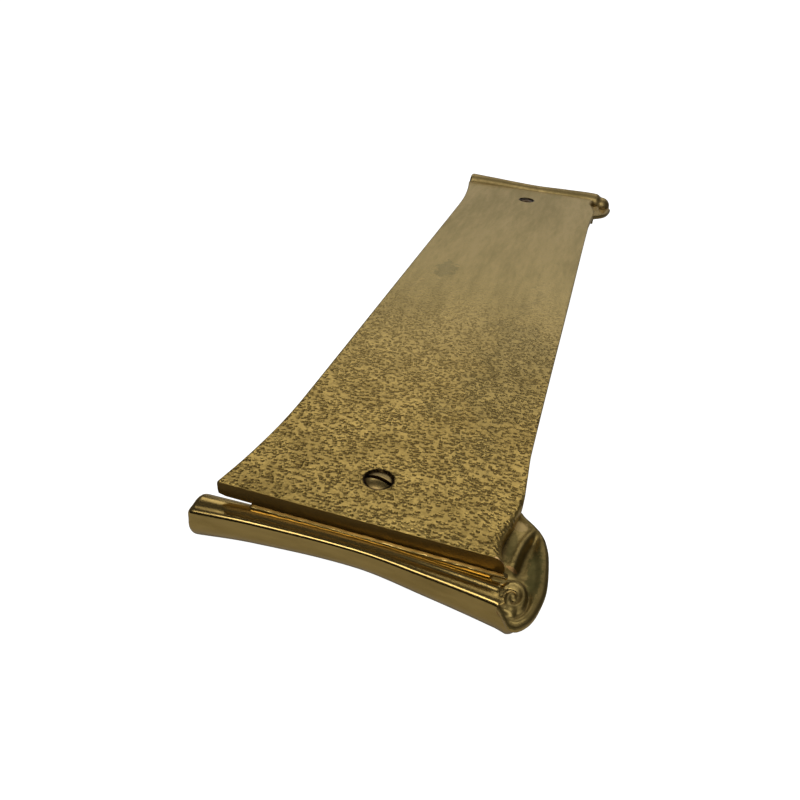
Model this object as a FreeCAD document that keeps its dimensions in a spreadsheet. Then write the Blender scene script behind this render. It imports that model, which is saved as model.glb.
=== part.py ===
"""Scroll-ended door plate: a pebbled cast face plate carried on two polished scroll castings.

Row frame, millimetres: X across the plate, Y along it towards the upper end, Z out of the door.
The origin is the middle of the plate on the door's surface, so the door is the plane Z = 0.
"""
import FreeCAD, Part
import os

import Sketcher

DRIVING_SIZES = [
    # face plate
    ("plate_length", 280.0),
    ("plate_thick", 4.5),
    ("face_height", 18.0),
    ("flare_half", 38.0),
    ("waist_half", 33.6),
    ("flare_length", 42.0),
    ("bulge_half", 34.7),
    ("bulge_inset", 19.0),
    ("nose_half", 32.4),
    ("nose_round", 2.2),
    ("bulge_bow", 0.35),
    ("nose_bow", 0.25),
    ("edge_chamfer", 0.5),
    # face screws
    ("lower_screw_inset", 15.0),
    ("upper_screw_inset", 19.0),
    ("lower_screw_across", -1.2),
    ("upper_screw_across", -1.6),
    ("thread_dia", 4.0),
    ("thread_gap", 0.05),
    ("screw_length", 14.0),
    ("head_dia", 6.9),
    ("dome_rise", 0.95),
    ("slot_width", 1.2),
    ("slot_depth", 1.3),
    ("lower_slot_turn", -7.0),
    ("upper_slot_turn", 24.0),
    ("sink_dia", 7.9),
    ("shank_hole_dia", 4.5),
    ("cone_overlap", 0.2),
    ("dome_bow", 0.22),
    ("tip_gap", 0.5),
    # foot of each scroll casting
    ("web_left", 29.0),
    ("web_right", 36.0),
    ("lower_web_reach", 1.2),
    ("upper_web_reach", 3.0),
    ("web_depth", 10.0),
    ("web_thick", 6.5),
    ("foot_half", 16.0),
    ("foot_inset", 4.0),
    ("foot_length", 46.0),
    ("bolt_inset", 34.0),
    ("bolt_bore_dia", 5.0),
    ("bolt_depth", 10.0),
    # roll of each scroll casting: its section at five stations across the plate
    ("lower_left_across", -44.0),
    ("upper_left_across", -38.0),
    ("shoulder_across", -27.0),
    ("waist_across", 0.0),
    ("swell_across", 18.0),
    ("right_across", 38.0),
    ("left_radius", 5.3),
    ("shoulder_radius", 4.5),
    ("waist_radius", 3.9),
    ("swell_radius", 4.6),
    ("right_radius", 5.3),
    # lower roll, tucked under: its centre beyond the plate's end, and below its face
    ("lower_left_beyond", 1.0),
    ("lower_left_below", 11.8),
    ("lower_shoulder_beyond", 1.2),
    ("lower_shoulder_below", 9.9),
    ("lower_waist_beyond", 1.4),
    ("lower_waist_below", 8.8),
    ("lower_swell_beyond", 2.1),
    ("lower_swell_below", 9.8),
    ("lower_right_beyond", 4.5),
    ("lower_right_below", 10.6),
    # upper roll, rolled over: its centre beyond the plate's end, and below its face
    ("upper_left_beyond", 5.6),
    ("upper_left_below", 2.5),
    ("upper_shoulder_beyond", 4.8),
    ("upper_shoulder_below", 1.9),
    ("upper_waist_beyond", 4.2),
    ("upper_waist_below", 2.2),
    ("upper_swell_beyond", 4.9),
    ("upper_swell_below", 2.8),
    ("upper_right_beyond", 5.7),
    ("upper_right_below", 5.5),
    # ear at the right-hand end of each roll
    ("lower_ear_reach", 44.0),
    ("upper_ear_reach", 43.0),
    ("ear_seat_gap", 0.3),
    ("ear_widest_inset", 1.0),
    ("ear_toe", 12.5),
    ("ear_toe_width", 3.5),
    ("ear_toe_bow", 2.6),
    ("ear_heel", 21.0),
    ("ear_heel_bow", 2.9),
    ("ear_heel_land", 4.0),
    ("ear_notch", 4.0),
    ("ear_thick", 4.6),
    ("ear_drop", 2.6),
    ("ear_lip", 1.9),
    ("ear_floor", 1.6),
    ("dish_root_across", 4.2),
    ("dish_heel_across", 5.2),
    ("dish_toe_beyond", 1.0),
    ("dish_side_beyond", 2.5),
    ("dish_side_in", 1.2),
    ("dish_heel_in", 3.4),
    ("dish_heel_gap", 8.5),
    ("dish_bow", 1.2),
    ("eye_across", 4.4),
    ("eye_beyond", 5.4),
    ("eye_long", 4.9),
    ("eye_short", 3.0),
    ("eye_rise", 1.4),
]

# Stations across the roll, from its free left end to the ear.
ROLL_STATIONS = ["left", "shoulder", "waist", "swell", "right"]

doc = FreeCAD.newDocument("scroll_door_plate")
sheet = doc.addObject("Spreadsheet::Sheet", "dims")
for row, (alias, value) in enumerate(DRIVING_SIZES, start=1):
    sheet.set("A%d" % row, alias)
    sheet.set("B%d" % row, str(value))
    sheet.setAlias("B%d" % row, alias)
doc.recompute()


def value_of(expression):
    """The number that a sheet expression stands for now."""
    return float(sheet.evalExpression(expression))


def origin_plane(body, role):
    return [feature for feature in body.Origin.OriginFeatures if feature.Role == role][0]


def new_body(name):
    body = doc.addObject("PartDesign::Body", name)
    body.Label = name
    return body


def new_sketch(body, name, role, offset="0"):
    """A sketch on one of the body's own origin planes, moved along its normal by an expression."""
    sketch = body.newObject("Sketcher::SketchObject", name)
    sketch.AttachmentSupport = (origin_plane(body, role), [""])
    sketch.MapMode = "FlatFace"
    sketch.setExpression("AttachmentOffset.Base.z", offset)
    return sketch


def hold_point(sketch, geometry, end, across, along):
    """Hold a point of the sketch at a place given by two sheet expressions."""
    for kind, axis, expression in (("DistanceX", -2, across), ("DistanceY", -1, along)):
        if abs(value_of(expression)) < 1e-9:
            sketch.addConstraint(Sketcher.Constraint("PointOnObject", geometry, end, axis))
            continue
        datum = Sketcher.Constraint(kind, -1, 1, geometry, end, value_of(expression))
        index = sketch.addConstraint(datum)
        sketch.setExpression("Constraints[%d]" % index, expression)


def draw_outline(sketch, corners):
    """Close a profile through corners of (across, along, bulge).

    The bulge is the expression for how far the next side bows out of its chord to the right
    of the way it is drawn, or None for a straight side. Arcs always run anticlockwise, so an
    arc that bows to the left is drawn from its far end.
    """
    places = [FreeCAD.Vector(value_of(x), value_of(y), 0) for x, y, _ in corners]
    first_ends = []
    for index, (_, _, bulge) in enumerate(corners):
        start = places[index]
        finish = places[(index + 1) % len(places)]
        first_ends.append(2 if bulge and value_of(bulge) < 0 else 1)
        if bulge is None:
            sketch.addGeometry(Part.LineSegment(start, finish))
            continue
        chord = finish - start
        aside = FreeCAD.Vector(chord.y, -chord.x, 0).normalize()
        middle = (start + finish) * 0.5 + aside * value_of(bulge)
        if first_ends[index] == 1:
            sketch.addGeometry(Part.Arc(start, middle, finish))
        else:
            sketch.addGeometry(Part.Arc(finish, middle, start))
    for index, (across, along, bulge) in enumerate(corners):
        following = (index + 1) % len(corners)
        hold_point(sketch, index, first_ends[index], across, along)
        joined = Sketcher.Constraint("Coincident", index, 3 - first_ends[index],
                                     following, first_ends[following])
        sketch.addConstraint(joined)
        if bulge is not None:
            radius = Sketcher.Constraint("Radius", index, sketch.Geometry[index].Radius)
            sketch.addConstraint(radius)


def add_pad(body, name, sketch, length):
    pad = body.newObject("PartDesign::Pad", name)
    pad.Profile = sketch
    pad.setExpression("Length", length)
    return pad


def cut_pocket(body, name, sketch, length, reversed_cut=False):
    """Cut a pocket and make sure that it took metal away."""
    doc.recompute()
    before = body.Shape.Volume
    pocket = body.newObject("PartDesign::Pocket", name)
    pocket.Profile = sketch
    pocket.setExpression("Length", length)
    pocket.Reversed = reversed_cut
    doc.recompute()
    if body.Shape.Volume >= before:
        raise RuntimeError(name + " cut nothing")
    return pocket


def place_primitive(feature, across, along, height):
    feature.setExpression("Placement.Base.x", across)
    feature.setExpression("Placement.Base.y", along)
    feature.setExpression("Placement.Base.z", height)


def bore_hole(body, name, radius, depth, across, along, height):
    """A straight hole whose lower end stands at the given height."""
    hole = body.newObject("PartDesign::SubtractiveCylinder", name)
    hole.setExpression("Radius", radius)
    hole.setExpression("Height", depth)
    place_primitive(hole, across, along, height)
    return hole


def end_line(side, inset):
    """The expression for a line across the plate, inset from the end on that side."""
    return "%d * (dims.plate_length / 2 - (%s))" % (side, inset)


SCREW_INSETS = {-1: "dims.lower_screw_inset", 1: "dims.upper_screw_inset"}
END_NAMES = {-1: "lower", 1: "upper"}


def make_face_plate():
    """The plate flares at both ends on its left side and tucks in beside each ear on its right."""
    body = new_body("face_plate")
    sketch = new_sketch(body, "plate_outline", "XY_Plane", "dims.face_height - dims.plate_thick")
    flare_bow = "(dims.flare_half - dims.waist_half) / 4"
    quarter_round = "dims.nose_round * (1 - cos(45 deg))"
    top, bottom = 1, -1
    draw_outline(sketch, [
        ("-dims.flare_half", end_line(bottom, "0"), None),
        ("dims.nose_half - dims.nose_round", end_line(bottom, "0"), quarter_round),
        ("dims.nose_half", end_line(bottom, "dims.nose_round"), "dims.nose_bow"),
        ("dims.bulge_half", end_line(bottom, "dims.bulge_inset"), "dims.bulge_bow"),
        ("dims.waist_half", end_line(bottom, "dims.flare_length"), None),
        ("dims.waist_half", end_line(top, "dims.flare_length"), "dims.bulge_bow"),
        ("dims.bulge_half", end_line(top, "dims.bulge_inset"), "dims.nose_bow"),
        ("dims.nose_half", end_line(top, "dims.nose_round"), quarter_round),
        ("dims.nose_half - dims.nose_round", end_line(top, "0"), None),
        ("-dims.flare_half", end_line(top, "0"), "-(%s)" % flare_bow),
        ("-dims.waist_half", end_line(top, "dims.flare_length"), None),
        ("-dims.waist_half", end_line(bottom, "dims.flare_length"), "-(%s)" % flare_bow),
    ])
    slab = add_pad(body, "plate_slab", sketch, "dims.plate_thick")
    doc.recompute()
    top_height = value_of("dims.face_height")
    nose_side = value_of("dims.nose_half")
    edges = []
    for number, edge in enumerate(slab.Shape.Edges, start=1):
        on_top = all(abs(vertex.Z - top_height) < 1e-6 for vertex in edge.Vertexes)
        clear_of_nose = all(abs(vertex.X) > nose_side + 0.1 for vertex in edge.Vertexes)
        if on_top and clear_of_nose:
            edges.append("Edge%d" % number)
    softened = body.newObject("PartDesign::Chamfer", "softened_edge")
    softened.Base = (slab, edges)
    softened.setExpression("Size", "dims.edge_chamfer")
    doc.recompute()
    for side in (-1, 1):
        across = "dims.%s_screw_across" % END_NAMES[side]
        along = end_line(side, SCREW_INSETS[side])
        bore_hole(body, END_NAMES[side] + "_shank_hole", "dims.shank_hole_dia / 2",
                  "dims.plate_thick + 2", across, along, "dims.face_height - dims.plate_thick - 1")
        sink = body.newObject("PartDesign::SubtractiveCone", END_NAMES[side] + "_countersink")
        sink_depth = "(dims.sink_dia / 2 - dims.shank_hole_dia / 2 + dims.cone_overlap)"
        sink.setExpression("Radius1", "dims.shank_hole_dia / 2 - dims.cone_overlap")
        sink.setExpression("Radius2", "dims.sink_dia / 2")
        sink.setExpression("Height", sink_depth)
        place_primitive(sink, across, along, "dims.face_height - " + sink_depth)
    return body


def make_scroll(side):
    """One end casting: foot under the plate, web, roll across the end, and ear on the right."""
    end = END_NAMES[side]
    body = new_body(end + "_scroll")

    foot_height = "dims.face_height - dims.plate_thick"
    foot = new_sketch(body, end + "_foot_outline", "XY_Plane")
    straight_inset = "dims.foot_length - dims.foot_half / 2"
    draw_outline(foot, [
        ("-dims.foot_half", end_line(side, "dims.foot_inset"), None),
        ("dims.foot_half", end_line(side, "dims.foot_inset"), None),
        ("dims.foot_half", end_line(side, straight_inset), "%d * dims.foot_half / 2" % -side),
        ("-dims.foot_half", end_line(side, straight_inset), None),
    ])
    add_pad(body, end + "_foot", foot, foot_height)

    web = new_sketch(body, end + "_web_outline", "XY_Plane", foot_height + " - dims.web_thick")
    reach = "-dims.%s_web_reach" % end
    draw_outline(web, [
        ("-dims.web_left", end_line(side, reach), None),
        ("dims.web_right", end_line(side, reach), None),
        ("dims.web_right", end_line(side, "dims.web_depth"), None),
        ("-dims.web_left", end_line(side, "dims.web_depth"), None),
    ])
    add_pad(body, end + "_web", web, "dims.web_thick")
    doc.recompute()

    sections = []
    for station in ROLL_STATIONS:
        across = "dims.%s_left_across" % end if station == "left" else "dims.%s_across" % station
        radius = "dims.%s_radius" % station
        section = new_sketch(body, "%s_roll_%s_section" % (end, station), "YZ_Plane", across)
        centre_y = end_line(side, "-dims.%s_%s_beyond" % (end, station))
        centre_z = "dims.face_height - dims.%s_%s_below" % (end, station)
        centre = FreeCAD.Vector(value_of(centre_y), value_of(centre_z), 0)
        section.addGeometry(Part.Circle(centre, FreeCAD.Vector(0, 0, 1), value_of(radius)))
        hold_point(section, 0, 3, centre_y, centre_z)
        index = section.addConstraint(Sketcher.Constraint("Radius", 0, value_of(radius)))
        section.setExpression("Constraints[%d]" % index, radius)
        sections.append(section)
    roll = body.newObject("PartDesign::AdditiveLoft", end + "_roll")
    roll.Profile = sections[0]
    roll.Sections = sections[1:]
    doc.recompute()

    ear_top = "dims.face_height - dims.ear_drop"
    ear = new_sketch(body, end + "_ear_outline", "XY_Plane", ear_top + " - dims.ear_thick")
    ear_reach = "dims.%s_ear_reach" % end
    seat = "dims.bulge_half + dims.ear_seat_gap"
    nose = "dims.nose_half + dims.ear_seat_gap"
    ear_corners = [
        (nose, end_line(side, "-dims.ear_toe"), None),
        ("dims.nose_half + dims.ear_toe_width", end_line(side, "-dims.ear_toe"),
         "%d * dims.ear_toe_bow" % -side),
        (ear_reach, end_line(side, "dims.ear_widest_inset"), "%d * dims.ear_heel_bow" % -side),
        (seat, end_line(side, "dims.ear_heel"), None),
        (seat, end_line(side, "dims.bulge_inset - dims.ear_heel_land"), None),
        (nose, end_line(side, "dims.ear_notch"), None),
    ]
    draw_outline(ear, ear_corners)
    add_pad(body, end + "_ear", ear, "dims.ear_thick")
    doc.recompute()

    dish = new_sketch(body, end + "_dish_outline", "XY_Plane", ear_top)
    dish_edge = ear_reach + " - dims.ear_lip - "
    heel_line = end_line(side, "dims.ear_heel - dims.dish_heel_gap")
    dish_corners = [
        ("dims.nose_half + dims.dish_root_across", end_line(side, "-dims.dish_toe_beyond"), None),
        (dish_edge + "dims.dish_side_in", end_line(side, "-dims.dish_side_beyond"),
         "%d * dims.dish_bow" % -side),
        (dish_edge + "dims.dish_heel_in", heel_line, None),
        ("dims.nose_half + dims.dish_heel_across", heel_line, None),
    ]
    draw_outline(dish, dish_corners)
    cut_pocket(body, end + "_dish", dish, "dims.ear_floor")

    eye = new_sketch(body, end + "_eye_outline", "XY_Plane", ear_top + " - dims.ear_floor")
    centre_x = "dims.nose_half + dims.eye_across"
    centre_y = end_line(side, "-dims.eye_beyond")
    centre = FreeCAD.Vector(value_of(centre_x), value_of(centre_y), 0)
    top_of_eye = centre + FreeCAD.Vector(0, value_of("dims.eye_long"), 0)
    side_of_eye = centre + FreeCAD.Vector(value_of("dims.eye_short"), 0, 0)
    eye.addGeometry(Part.Ellipse(top_of_eye, side_of_eye, centre))
    add_pad(body, end + "_eye", eye, "dims.ear_floor + dims.eye_rise")
    doc.recompute()

    bore_hole(body, end + "_face_thread", "dims.thread_dia / 2 + dims.thread_gap",
              "dims.screw_length", "dims.%s_screw_across" % end, end_line(side, SCREW_INSETS[side]),
              "dims.face_height - dims.screw_length")
    bore_hole(body, end + "_bolt_thread", "dims.bolt_bore_dia / 2", "dims.bolt_depth", "0",
              end_line(side, "dims.bolt_inset"), "0")
    return body


def make_face_screw(side):
    """A slotted raised countersunk machine screw, standing in its hole."""
    end = END_NAMES[side]
    body = new_body(end + "_face_screw")
    axis = end_line(side, SCREW_INSETS[side])
    seat = "dims.face_height - (dims.sink_dia - dims.head_dia) / 2"
    neck = "%s - (dims.head_dia - dims.thread_dia) / 2" % seat
    tip = "dims.face_height - dims.screw_length + dims.tip_gap"
    across = "dims.%s_screw_across" % end
    profile = new_sketch(body, end + "_screw_profile", "YZ_Plane", across)
    draw_outline(profile, [
        (axis, tip, None),
        (axis + " + dims.thread_dia / 2", tip, None),
        (axis + " + dims.thread_dia / 2", neck, None),
        (axis + " + dims.head_dia / 2", seat, "dims.dome_bow"),
        (axis, seat + " + dims.dome_rise", None),
    ])
    blank = body.newObject("PartDesign::Revolution", end + "_turned_blank")
    blank.Profile = profile
    blank.ReferenceAxis = (profile, ["Edge5"])
    blank.Angle = 360

    slot = new_sketch(body, end + "_slot_outline", "XY_Plane", seat + " + dims.dome_rise")
    turn = "dims.%s_slot_turn" % end
    corners = []
    for along_sign, across_sign in ((-1, -1), (1, -1), (1, 1), (-1, 1)):
        reach = "%d * dims.head_dia * 0.6" % along_sign
        aside = "%d * dims.slot_width / 2" % across_sign
        corners.append((
            "%s + (%s) * cos(%s * 1 deg) - (%s) * sin(%s * 1 deg)" % (across, reach, turn, aside, turn),
            "%s + (%s) * sin(%s * 1 deg) + (%s) * cos(%s * 1 deg)" % (axis, reach, turn, aside, turn),
            None))
    draw_outline(slot, corners)
    cut_pocket(body, end + "_slot", slot, "dims.slot_depth")
    return body


def check_and_write(bodies):
    """Refuse any feature that failed, then write each piece to its own file."""
    doc.recompute()
    for item in doc.Objects:
        if "Invalid" in item.State or "Error" in item.State:
            raise RuntimeError("%s did not compute" % item.Name)
    os.makedirs("parts", exist_ok=True)
    for body in bodies:
        shape = body.Shape
        if shape.isNull() or not shape.isValid() or len(shape.Solids) != 1:
            raise RuntimeError("%s is not one sound solid" % body.Label)
        box = shape.BoundBox
        print("%-18s %8.0f mm3  x %6.1f %6.1f  y %7.1f %7.1f  z %5.1f %5.1f" % (
            body.Label, shape.Volume, box.XMin, box.XMax, box.YMin, box.YMax, box.ZMin, box.ZMax))
        shape.exportStep("parts/%s.step" % body.Label)


pieces = [make_face_plate()]
for side in (-1, 1):
    pieces.append(make_scroll(side))
    pieces.append(make_face_screw(side))
check_and_write(pieces)
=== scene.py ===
"""Scroll-ended brass door plate: pebbled face plate, two scroll castings and two slotted screws."""

import math

import bmesh
import bpy
from mathutils import Euler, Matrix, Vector, noise


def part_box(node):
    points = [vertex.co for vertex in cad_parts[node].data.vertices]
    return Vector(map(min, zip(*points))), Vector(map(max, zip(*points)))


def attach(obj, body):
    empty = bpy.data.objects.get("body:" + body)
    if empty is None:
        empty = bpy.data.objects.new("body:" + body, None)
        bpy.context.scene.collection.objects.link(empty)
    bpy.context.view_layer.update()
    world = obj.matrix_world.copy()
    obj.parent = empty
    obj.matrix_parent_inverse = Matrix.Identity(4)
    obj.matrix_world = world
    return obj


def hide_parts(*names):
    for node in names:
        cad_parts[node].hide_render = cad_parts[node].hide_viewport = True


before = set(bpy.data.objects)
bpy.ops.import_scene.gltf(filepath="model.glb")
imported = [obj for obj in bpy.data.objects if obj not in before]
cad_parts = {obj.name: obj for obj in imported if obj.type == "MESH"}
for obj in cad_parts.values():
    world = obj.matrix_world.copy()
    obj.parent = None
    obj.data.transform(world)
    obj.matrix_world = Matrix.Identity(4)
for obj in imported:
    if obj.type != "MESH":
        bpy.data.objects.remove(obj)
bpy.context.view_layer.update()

MM = 0.001
LOWER, UPPER = -1, 1
END_NAMES = {LOWER: "lower", UPPER: "upper"}

plate_low, plate_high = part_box("face_plate")
FACE = plate_high.z / MM
PLATE_END = plate_high.y / MM
PLATE_LENGTH = 2 * PLATE_END
PLATE_THICK = (plate_high.z - plate_low.z) / MM
SCREWS = {}
for end_side, end_name in END_NAMES.items():
    screw_low, screw_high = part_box(end_name + "_face_screw")
    middle = (screw_low + screw_high) / 2 / MM
    SCREWS[end_side] = (middle.x, PLATE_END - abs(middle.y))

# Plan of the face plate: (distance from the end, distance from the middle line)
LEFT_SIDE = [(0, 37.9), (10, 36.1), (21, 34.7), (31, 33.9), (42, 33.6), (140, 33.6)]
RIGHT_SIDE = [(0, 34.0), (2.2, 32.9), (4.9, 32.3), (7.3, 32.4), (9.9, 32.9), (13.3, 33.7),
              (20.6, 34.6), (30, 34.2), (42, 33.6), (140, 33.6)]
RIGHT_ROUND = [(0, 3.3), (3, 2.5), (12, 2.0), (19, 1.2), (25, 0.6), (140, 0.6)]
LEFT_ROUND = 0.45
SIDE_DRAFT = 0.25
END_LIP, END_LIP_DROP = 0.35, 0.30

# The cast face: its slow unevenness, and where along the plate it has been rubbed smooth
UNEVEN_DEPTH, UNEVEN_SPAN = 0.14, 1.9
UNEVEN_FADES = (40, 175)
RUBBED_FROM, RUBBED_TO = 30, 165

# The sinking of each screw hole: (radius, depth), after its mouth in the face
SINK_MOUTH = 3.95
SINK_STEPS = [(3.80, 0.14), (2.3, 1.9), (2.25, 4.2)]
FLAT_ROUND_HOLE = (4.1, 5.2)

# The roll across each end: (across, beyond the plate's end, below its face, radius)
ROLLS = {
    LOWER: [(-44, 1.0, 11.8, 5.3), (-27, 1.2, 9.9, 4.5), (0, 1.4, 8.8, 3.9),
            (18, 2.1, 9.8, 4.6), (34.4, 3.4, 10.6, 5.3), (38, 4.5, 10.6, 5.3)],
    UPPER: [(-38, 5.6, 2.5, 5.3), (-27, 4.8, 1.9, 4.5), (0, 4.2, 2.2, 3.9),
            (18, 4.9, 2.8, 4.6), (34.0, 5.4, 3.7, 5.3), (36.4, 5.6, 5.0, 5.2),
            (38, 5.6, 5.2, 5.2), (40, 5.6, 5.2, 5.2)],
}
ROLL_LEFT = {LOWER: -43.9, UPPER: -37.9}
ROLL_RIGHT = 37.0
ROLL_ROUND = {LOWER: 2.4, UPPER: 4.9}
ROLL_LEFT_ROUND = 1.3

# The ear's outline in plan: (across, distance from the plate's end), outer edge first
EAR_RIM = [(36.0, -10.0), (37.4, -11.7), (39.4, -11.6), (41.6, -9.3), (43.0, -5.8), (43.8, -0.5),
           (43.0, 7.5), (41.8, 12.0), (40.3, 14.8), (38.2, 17.0), (35.9, 18.9), (34.2, 20.4)]
EAR_ROOT = [(32.8, 17.5), (32.0, 13.0), (31.2, 8.5), (31.0, 4.0), (31.3, 0.0), (32.2, -4.0), (33.8, -7.6)]
RIM_DEPTH = [(-12.5, 6.3), (-6, 5.3), (0, 4.3), (8, 3.4), (21, 3.1)]
LEAF_EDGE = [(-2, 35.0), (1.7, 35.7), (6.9, 36.4), (10.9, 37.3), (15.5, 39.2), (21, 41.5)]
EAR_LIFT = {LOWER: 0.0, UPPER: 0.5}
EAR_NARROWING = {LOWER: 1.01, UPPER: 0.86}
EAR_MIDDLE = (37.3, 3.0)
EAR_SPREAD = 11.0
EAR_UNDERCUT = 1.3
EYE_MIDDLE = (37.1, -5.2)
EYE_REACH = (3.1, 4.3)
EYE_RELIEF = {LOWER: 1.0, UPPER: 0.4}

# The web and the foot that carry each roll and ear under the plate
WEB_LEFT, WEB_RIGHT, WEB_INNER, WEB_BOTTOM = -29, 35.0, 9.5, 10.5
WEB_BEYOND = {LOWER: 1.0, UPPER: 2.0}
WEB_TOP = {LOWER: 4.72, UPPER: 4.6}
WEB_ARRIS = 0.35
FOOT_HALF, FOOT_OUTER, FOOT_INNER, FOOT_CORNER, FOOT_ARRIS = 16, 4, 46, 13, 0.5
TAP_INSET, TAP_MOUTH, TAP_CREST, TAP_ROOT = 34, 2.9, 2.12, 2.5
TAP_START, TAP_HALF_PITCH, TAP_TURNS = 1.0, 0.4, 26

VOXEL = 0.27


def ease(low, high, value):
    """0 at low, 1 at high, smooth between and steady beyond; high may be the smaller one."""
    share = min(1.0, max(0.0, (value - low) / (high - low)))
    return share * share * (3 - 2 * share)


def swell(value, middle, width):
    return math.exp(-((value - middle) / width) ** 2)


def along_stations(stations, place, column=1):
    """The value at a place on the smooth curve through stations of (place, value, ...)."""
    if place <= stations[0][0]:
        return stations[0][column]
    if place >= stations[-1][0]:
        return stations[-1][column]
    index = max(i for i, station in enumerate(stations) if station[0] <= place)

    def slope(i):
        before = stations[max(i - 1, 0)]
        after = stations[min(i + 1, len(stations) - 1)]
        return (after[column] - before[column]) / (after[0] - before[0])

    start, finish = stations[index], stations[index + 1]
    gap = finish[0] - start[0]
    t = (place - start[0]) / gap
    return ((2 * t**3 - 3 * t**2 + 1) * start[column] + (t**3 - 2 * t**2 + t) * gap * slope(index)
            + (3 * t**2 - 2 * t**3) * finish[column] + (t**3 - t**2) * gap * slope(index + 1))


def round_loop(points, turn):
    """A point on the closed smooth curve through the given points, turn from 0 to 1."""
    place = (turn % 1.0) * len(points)
    index = int(place)
    t = place - index
    p0, p1, p2, p3 = (points[(index + step) % len(points)] for step in (-1, 0, 1, 2))
    return tuple(0.5 * (2 * b + (c - a) * t + (2 * a - 5 * b + 4 * c - d) * t**2
                        + (3 * b - a - 3 * c + d) * t**3)
                 for a, b, c, d in zip(p0, p1, p2, p3))


def at_end(side, across, inset, depth):
    """A place given from one end of the plate: across, inset from the end, depth below the face."""
    return Vector((across * MM, side * (PLATE_END - inset) * MM, (FACE - depth) * MM))


def from_end(side, point):
    """The opposite of at_end: (across, inset, depth) of a point."""
    return point.x / MM, PLATE_END - side * point.y / MM, FACE - point.z / MM


def shell_from_grid(bm, around, along, place):
    """Add a closed shell: a grid wrapped by place(u, v), with its seam and its poles merged."""
    made = bmesh.ops.create_grid(bm, x_segments=around, y_segments=along, size=1)["verts"]
    for vert in made:
        vert.co = place((vert.co.x + 1) / 2, (vert.co.y + 1) / 2)
    bmesh.ops.remove_doubles(bm, verts=made, dist=1e-6)
    bmesh.ops.dissolve_degenerate(bm, dist=1e-7, edges=bm.edges[:])
    bmesh.ops.recalc_face_normals(bm, faces=bm.faces[:])


def finish_piece(name, bm, sharp_angle):
    bmesh.ops.recalc_face_normals(bm, faces=bm.faces[:])
    mesh = bpy.data.meshes.new(name)
    bm.to_mesh(mesh)
    bm.free()
    mesh.shade_smooth()
    mesh.set_sharp_from_angle(angle=math.radians(sharp_angle))
    piece = bpy.data.objects.new(name, mesh)
    bpy.context.scene.collection.objects.link(piece)
    return piece


def with_modifier(bm, kind, **settings):
    """The mesh of bm after one modifier, as a new bmesh."""
    mesh = bpy.data.meshes.new("blank")
    bm.to_mesh(mesh)
    bm.free()
    blank = bpy.data.objects.new("blank", mesh)
    bpy.context.scene.collection.objects.link(blank)
    modifier = blank.modifiers.new("work", kind)
    for key, value in settings.items():
        setattr(modifier, key, value)
    bpy.context.view_layer.update()
    worked = bpy.data.meshes.new_from_object(blank.evaluated_get(bpy.context.evaluated_depsgraph_get()))
    result = bmesh.new()
    result.from_mesh(worked)
    bpy.data.objects.remove(blank)
    bpy.data.meshes.remove(mesh)
    bpy.data.meshes.remove(worked)
    return result


def cut_with(bm, cutter_bm):
    """bm less the shape of cutter_bm."""
    mesh = bpy.data.meshes.new("cutter")
    cutter_bm.to_mesh(mesh)
    cutter_bm.free()
    cutter = bpy.data.objects.new("cutter", mesh)
    bpy.context.scene.collection.objects.link(cutter)
    result = with_modifier(bm, "BOOLEAN", object=cutter, operation="DIFFERENCE", solver="EXACT")
    bpy.data.objects.remove(cutter)
    bpy.data.meshes.remove(mesh)
    return result


def join_shell(bm, other):
    """Add the faces of another bmesh to bm."""
    mesh = bpy.data.meshes.new("shell")
    other.to_mesh(mesh)
    other.free()
    bm.from_mesh(mesh)
    bpy.data.meshes.remove(mesh)


# ---------------------------------------------------------------- face plate

def face_unevenness(across, inset):
    """Depth of the cast face's slow unevenness, 0 to 1; the fine pits are in its finish."""
    return min(1.0, max(0.0, 0.5 + 0.9 * noise.noise(Vector((across, inset, 0)) / UNEVEN_SPAN)))


def unevenness_left(across, inset):
    """Share of the unevenness that is left: all at the lower end, little towards the upper one."""
    worn = 1 - 0.86 * ease(*UNEVEN_FADES, inset)
    patchy = 1 + 0.45 * noise.noise(Vector((across / 16, inset / 24, 3)))
    return worn * patchy


# The plate's skin: points round its section and along it, and where each side of the section stops
PLATE_COLUMNS, PLATE_ROWS = 182, 520
TOP_SHARE, RIGHT_SHARE, BOTTOM_SHARE = 0.87, 0.895, 0.975


def plate_section(turn, left, right, rounding, drop):
    """Walk once round the plate's section: (across, depth, share of unevenness)."""
    if turn <= TOP_SHARE:
        across = -left + (left + right) * turn / TOP_SHARE
        from_right = right - across
        from_left = across + left
        depth = drop
        if from_right < rounding:
            depth += rounding - math.sqrt(max(rounding**2 - (rounding - from_right) ** 2, 0))
        if from_left < LEFT_ROUND:
            depth += LEFT_ROUND * (1 - from_left / LEFT_ROUND) ** 1.5
        fade = ease(0.1, 1.4, from_left) * ease(rounding * 0.35, rounding * 0.9 + 0.8, from_right)
        return across, depth, fade
    if turn <= RIGHT_SHARE:
        share = (turn - TOP_SHARE) / (RIGHT_SHARE - TOP_SHARE)
        start = drop + rounding
        return right - SIDE_DRAFT * ease(0.6, 1, share), start + (PLATE_THICK - start) * share, 0
    if turn <= BOTTOM_SHARE:
        share = (turn - RIGHT_SHARE) / (BOTTOM_SHARE - RIGHT_SHARE)
        return right - (left + right) * share, PLATE_THICK, 0
    share = (turn - BOTTOM_SHARE) / (1 - BOTTOM_SHARE)
    start = drop + LEFT_ROUND
    return -left + SIDE_DRAFT * (1 - ease(0, 0.4, share)), PLATE_THICK - (PLATE_THICK - start) * share, 0


def screw_distance(across, inset):
    """Distance in plan from the nearer screw; the inset is from the lower end."""
    return min(math.hypot(across - screw_across,
                          inset - (screw_inset if side == LOWER else PLATE_LENGTH - screw_inset))
               for side, (screw_across, screw_inset) in SCREWS.items())


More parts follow.
